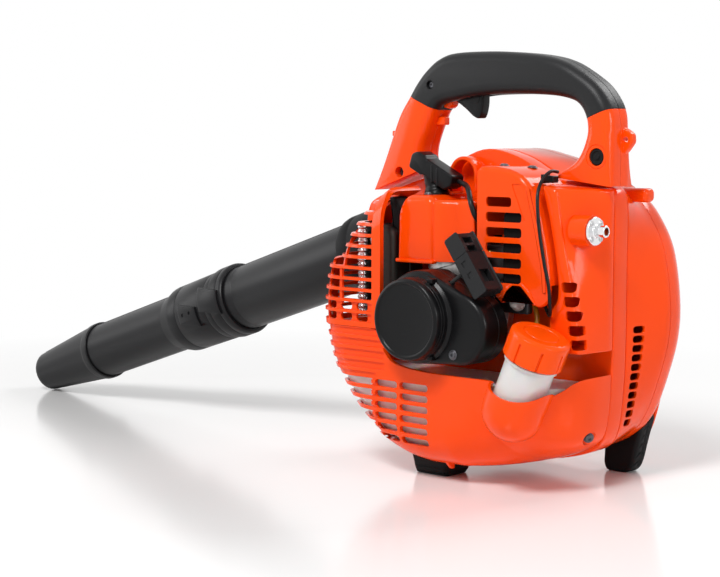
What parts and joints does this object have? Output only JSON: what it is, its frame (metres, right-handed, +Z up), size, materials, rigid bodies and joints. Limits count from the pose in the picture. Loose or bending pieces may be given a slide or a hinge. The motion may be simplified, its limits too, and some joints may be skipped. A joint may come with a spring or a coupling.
{
  "type": "leaf blower",
  "caption": "Hand-held petrol leaf blower: orange fan case and top handle, pull-start two-stroke engine with fuel tank, and a sloping dark blow tube.",
  "frame": {"origin": "middle of the bounding box's base, on the floor that the front foot, the rear skid and the nozzle's end stand on", "axes": "+Z up; +X from the nozzle to the engine end, the blow tube points to -X; -Y is the engine and starter side, +Y the air intake side"},
  "size_m": [0.8408, 0.2162, 0.3756],
  "materials": {
    "orange_case": "moulded, glossy",
    "orange_cap": "moulded, glossy, grooved skirt",
    "black_plastic": "moulded, satin",
    "dark_tube": "moulded, matt",
    "grip_plastic": "moulded, satin",
    "black_rubber": "soft, matt",
    "tank_plastic": "translucent, milky",
    "clear_bulb": "translucent",
    "cast_aluminium": "die cast",
    "steel_parts": "machined",
    "bright_spigot": "bright",
    "muffler_steel": "pressed sheet",
    "spring_steel": "oiled",
    "fuel_hose": "amber, flexible",
    "foam_filter": "foam",
    "starter_cord": "braided",
    "spark_porcelain": "plated"
  },
  "bodies": {
    "blower": {"fan_case_inner": "orange_case", "fan_case_outer": "orange_case", "intake_guard": "orange_case", "outlet_sleeve": "black_plastic", "upper_tube": "dark_tube", "coupling_ring": "dark_tube", "crankcase_starter_half": "cast_aluminium", "crankcase_fan_half": "cast_aluminium", "starter_side_bearing": "steel_parts", "fan_side_bearing": "steel_parts", "cylinder": "cast_aluminium", "spark_plug": "spark_porcelain", "spark_plug_boot": "black_rubber", "ignition_lead": "black_rubber", "ignition_coil": "black_plastic", "muffler": "muffler_steel", "intake_insulator": "black_plastic", "carburetor": "cast_aluminium", "air_filter_element": "foam_filter", "starter_housing": "black_plastic", "recoil_spring": "spring_steel", "starter_rope": "starter_cord", "cylinder_cover": "orange_case", "carburetor_cover": "orange_case", "engine_shroud": "orange_case", "flanged_spigot": "bright_spigot", "tank_shroud": "orange_case", "fuel_tank": "tank_plastic", "fuel_line": "fuel_hose", "muffler_guard": "orange_case", "handle_frame_left": "orange_case", "handle_frame_right": "orange_case", "grip_left": "grip_plastic", "grip_right": "grip_plastic", "vibration_mount": "black_rubber", "trigger_pin": "steel_parts", "trigger_spring": "spring_steel", "throttle_cable": "black_rubber", "cable_clip": "black_plastic", "front_foot": "black_rubber", "rear_skid": "black_plastic"},
    "crank": {"crank_starter_half": "steel_parts", "crank_fan_half": "steel_parts", "flywheel": "cast_aluminium", "fan_impeller": "black_plastic", "fan_nut": "steel_parts"},
    "piston_and_rod": {"piston": "cast_aluminium", "piston_pin": "steel_parts", "connecting_rod": "steel_parts", "crank_pin": "steel_parts"},
    "pulley": {"starter_pulley": "black_plastic"},
    "pull_handle": {"starter_handle": "black_plastic"},
    "trigger": {"throttle_trigger": "black_plastic"},
    "throttle": {"throttle_lever": "steel_parts"},
    "choke": {"choke_lever": "black_plastic"},
    "primer": {"primer_bulb": "clear_bulb"},
    "cap": {"fuel_cap": "orange_cap"},
    "stop": {"stop_switch": "orange_case"},
    "nozzle": {"lower_tube": "dark_tube", "nozzle_tip": "dark_tube"}
  },
  "joints": [
    {"name": "crank_spin", "type": "hinge", "parent": "blower", "child": "crank", "pos_m": [0.26254, -0.00115, 0.147], "axis": [0, 1, 0], "continuous": true},
    {"name": "piston_slide", "type": "slide", "parent": "blower", "child": "piston_and_rod", "axis": [-0.2588, 0, 0.9659], "range_m": [-0.03, 0]},
    {"name": "pulley_turn", "type": "hinge", "parent": "blower", "child": "pulley", "pos_m": [0.26254, -0.07415, 0.147], "axis": [0, 1, 0], "range_deg": [0, 1340]},
    {"name": "starter_pull", "type": "slide", "parent": "blower", "child": "pull_handle", "axis": [0.821, 0, 0.571], "range_m": [0, 0.65], "stiffness_N_per_m": 12, "springref_m": -0.25},
    {"name": "trigger_pull", "type": "hinge", "parent": "blower", "child": "trigger", "pos_m": [0.24854, -0.00115, 0.3435], "axis": [0, -1, 0], "range_deg": [0, 18], "stiffness_Nm_per_rad": 0.5, "springref_deg": -14.32},
    {"name": "throttle_turn", "type": "hinge", "parent": "blower", "child": "throttle", "pos_m": [0.30654, -0.04715, 0.186], "axis": [0, -1, 0], "range_deg": [0, 72]},
    {"name": "choke_turn", "type": "hinge", "parent": "blower", "child": "choke", "pos_m": [0.35854, -0.04745, 0.181], "axis": [0, -1, 0], "range_deg": [0, 60]},
    {"name": "primer_press", "type": "slide", "parent": "blower", "child": "primer", "axis": [0, 1, 0], "range_m": [0, 0.003], "stiffness_N_per_m": 1200, "springref_m": -0.001},
    {"name": "fuel_cap_turn", "type": "hinge", "parent": "blower", "child": "cap", "pos_m": [0.37157, -0.07115, 0.11715], "axis": [0.3907, 0, 0.9205], "range_deg": [0, 540]},
    {"name": "stop_press", "type": "slide", "parent": "blower", "child": "stop", "axis": [0, 0, 1], "range_m": [0, 0.003], "stiffness_N_per_m": 800, "springref_m": -0.002},
    {"name": "tube_twist", "type": "hinge", "parent": "blower", "child": "nozzle", "pos_m": [-0.10446, 0.04385, 0.12308], "axis": [0.9495, 0, 0.3137], "range_deg": [0, 30]}
  ],
  "couplings": [
    {"joint": "pulley_turn", "follows": "starter_pull", "rad_per_m": 35.088},
    {"joint": "throttle_turn", "follows": "trigger_pull", "ratio": 4}
  ]
}
